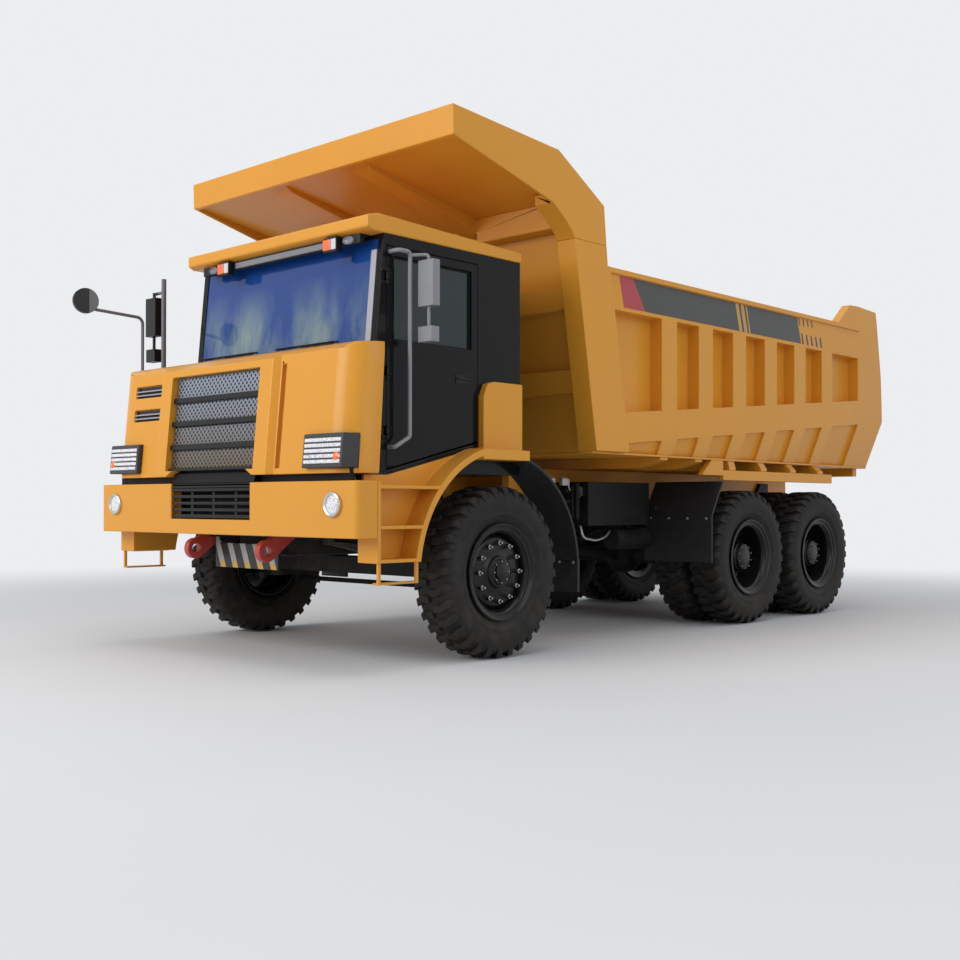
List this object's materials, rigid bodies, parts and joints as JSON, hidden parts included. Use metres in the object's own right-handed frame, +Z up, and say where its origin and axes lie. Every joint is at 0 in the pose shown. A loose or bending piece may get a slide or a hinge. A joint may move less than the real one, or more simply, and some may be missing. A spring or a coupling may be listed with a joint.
{
  "type": "mining dump truck",
  "caption": "Six-wheel-end mining dump truck with a rear-tipping rock bed, a canopy over an offset cab, twin rear wheels, steps and mirrors.",
  "frame": {"origin": "on the ground under the middle of the truck's overall length and width", "axes": "+X forward, +Y to the truck's left, +Z up"},
  "size_m": [8.8406, 3.6, 4.245],
  "materials": {
    "yellow_paint": "satin orange-yellow paint",
    "black_paint": "gloss black paint",
    "dark_steel": "satin dark grey paint",
    "bright_steel": "ground steel",
    "tyre_rubber": "matt black rubber",
    "tinted_glass": "tinted glass",
    "red_paint": "satin red paint",
    "black_plastic": "matt black plastic",
    "seat_cloth": "woven seat cloth",
    "lamp_housing": "dark grey lamp housing",
    "grille_mesh": "black perforated panel",
    "rim_paint": "gloss black paint",
    "black_rubber": "matt black rubber",
    "stripe_paint": "black and light grey diagonal stripes"
  },
  "bodies": {
    "chassis": {"frame_rails": "dark_steel", "frame_cross_members": "dark_steel", "engine_block": "dark_steel", "radiator": "dark_steel", "front_axle": "dark_steel", "rear_axles": "dark_steel", "suspension": "dark_steel", "driveline": "dark_steel", "left_tanks": "black_paint", "fuel_tank": "black_paint", "bumper": "yellow_paint", "lower_grille": "black_plastic", "hood": "yellow_paint", "upper_grille": "grille_mesh", "front_lamps": "lamp_housing", "tow_hooks": "red_paint", "skid_plate": "stripe_paint", "left_fender": "yellow_paint", "right_fender": "yellow_paint", "front_guards": "black_rubber", "rear_guards": "black_rubber", "deck": "yellow_paint", "cab_shell": "black_paint", "cab_roof": "yellow_paint", "cab_glass": "tinted_glass", "seats": "seat_cloth", "dashboard": "black_plastic", "roof_lamps": "black_plastic", "right_mirrors": "black_plastic"},
    "door": {"door": "black_paint", "door_glass": "tinted_glass", "door_mirrors": "black_plastic"},
    "left_knuckle": {"left_knuckle": "dark_steel"},
    "right_knuckle": {"right_knuckle": "dark_steel"},
    "tie_rod": {"tie_rod": "dark_steel"},
    "front_left_wheel": {"front_left_tyre": "tyre_rubber", "front_left_rim": "rim_paint"},
    "front_right_wheel": {"front_right_tyre": "tyre_rubber", "front_right_rim": "rim_paint"},
    "middle_left_wheels": {"middle_left_tyres": "tyre_rubber", "middle_left_rims": "rim_paint"},
    "middle_right_wheels": {"middle_right_tyres": "tyre_rubber", "middle_right_rims": "rim_paint"},
    "rear_left_wheels": {"rear_left_tyres": "tyre_rubber", "rear_left_rims": "rim_paint"},
    "rear_right_wheels": {"rear_right_tyres": "tyre_rubber", "rear_right_rims": "rim_paint"},
    "bed": {"bed_floor": "yellow_paint", "bed_beams": "yellow_paint", "bed_cross_members": "yellow_paint", "wheel_covers": "yellow_paint", "bed_sides": "yellow_paint", "headboard": "yellow_paint", "canopy": "yellow_paint"},
    "tailgate": {"tailgate": "yellow_paint"},
    "hoist_barrel": {"hoist_barrel": "bright_steel"},
    "hoist_stage_1": {"hoist_stage_1": "bright_steel"},
    "hoist_stage_2": {"hoist_stage_2": "bright_steel"},
    "hoist_rod": {"hoist_rod": "bright_steel"}
  },
  "joints": [
    {"name": "door_hinge", "type": "hinge", "parent": "chassis", "child": "door", "pos_m": [3.5325, 1.512, 2.3], "axis": [0, 0, -1], "range_deg": [0, 70]},
    {"name": "left_steer", "type": "hinge", "parent": "chassis", "child": "left_knuckle", "pos_m": [2.4325, 1.23, 0.685], "axis": [0, 0, 1], "range_deg": [-32, 32]},
    {"name": "right_steer", "type": "hinge", "parent": "chassis", "child": "right_knuckle", "pos_m": [2.4325, -1.23, 0.685], "axis": [0, 0, 1], "range_deg": [-32, 32]},
    {"name": "tie_rod_pivot", "type": "hinge", "parent": "left_knuckle", "child": "tie_rod", "pos_m": [2.1725, 1.23, 0.512], "axis": [0, 0, 1], "range_deg": [-32, 32]},
    {"name": "front_left_wheel_spin", "type": "hinge", "parent": "left_knuckle", "child": "front_left_wheel", "pos_m": [2.4325, 1.5025, 0.685], "axis": [0, 1, 0], "continuous": true},
    {"name": "front_right_wheel_spin", "type": "hinge", "parent": "right_knuckle", "child": "front_right_wheel", "pos_m": [2.4325, -1.5025, 0.685], "axis": [0, 1, 0], "continuous": true},
    {"name": "middle_left_wheels_spin", "type": "hinge", "parent": "chassis", "child": "middle_left_wheels", "pos_m": [-1.4605, 1.2375, 0.685], "axis": [0, 1, 0], "continuous": true},
    {"name": "middle_right_wheels_spin", "type": "hinge", "parent": "chassis", "child": "middle_right_wheels", "pos_m": [-1.4605, -1.2375, 0.685], "axis": [0, 1, 0], "continuous": true},
    {"name": "rear_left_wheels_spin", "type": "hinge", "parent": "chassis", "child": "rear_left_wheels", "pos_m": [-2.9465, 1.2375, 0.685], "axis": [0, 1, 0], "continuous": true},
    {"name": "rear_right_wheels_spin", "type": "hinge", "parent": "chassis", "child": "rear_right_wheels", "pos_m": [-2.9465, -1.2375, 0.685], "axis": [0, 1, 0], "continuous": true},
    {"name": "bed_tip", "type": "hinge", "parent": "chassis", "child": "bed", "pos_m": [-3.7175, 0, 1.4], "axis": [0, -1, 0], "range_deg": [0, 45]},
    {"name": "tailgate_hinge", "type": "hinge", "parent": "bed", "child": "tailgate", "pos_m": [-4.1275, 0, 3.48], "axis": [0, 1, 0], "range_deg": [0, 60]},
    {"name": "hoist_swing", "type": "hinge", "parent": "chassis", "child": "hoist_barrel", "pos_m": [1.8125, 0, 1.13], "axis": [0, -1, 0], "range_deg": [0, 27]},
    {"name": "hoist_slide_1", "type": "slide", "parent": "hoist_barrel", "child": "hoist_stage_1", "axis": [-0.0377, 0, 0.9993], "range_m": [0, 1.36]},
    {"name": "hoist_slide_2", "type": "slide", "parent": "hoist_stage_1", "child": "hoist_stage_2", "axis": [-0.0377, 0, 0.9993], "range_m": [0, 1.36]},
    {"name": "hoist_slide_3", "type": "slide", "parent": "hoist_stage_2", "child": "hoist_rod", "axis": [-0.0377, 0, 0.9993], "range_m": [0, 1.36]}
  ],
  "couplings": [
    {"joint": "right_steer", "follows": "left_steer", "ratio": 1},
    {"joint": "tie_rod_pivot", "follows": "left_steer", "ratio": -1},
    {"joint": "hoist_swing", "follows": "bed_tip", "ratio": 0.59165},
    {"joint": "hoist_slide_1", "follows": "bed_tip", "m_per_rad": 1.73},
    {"joint": "hoist_slide_2", "follows": "bed_tip", "m_per_rad": 1.73},
    {"joint": "hoist_slide_3", "follows": "bed_tip", "m_per_rad": 1.73}
  ]
}
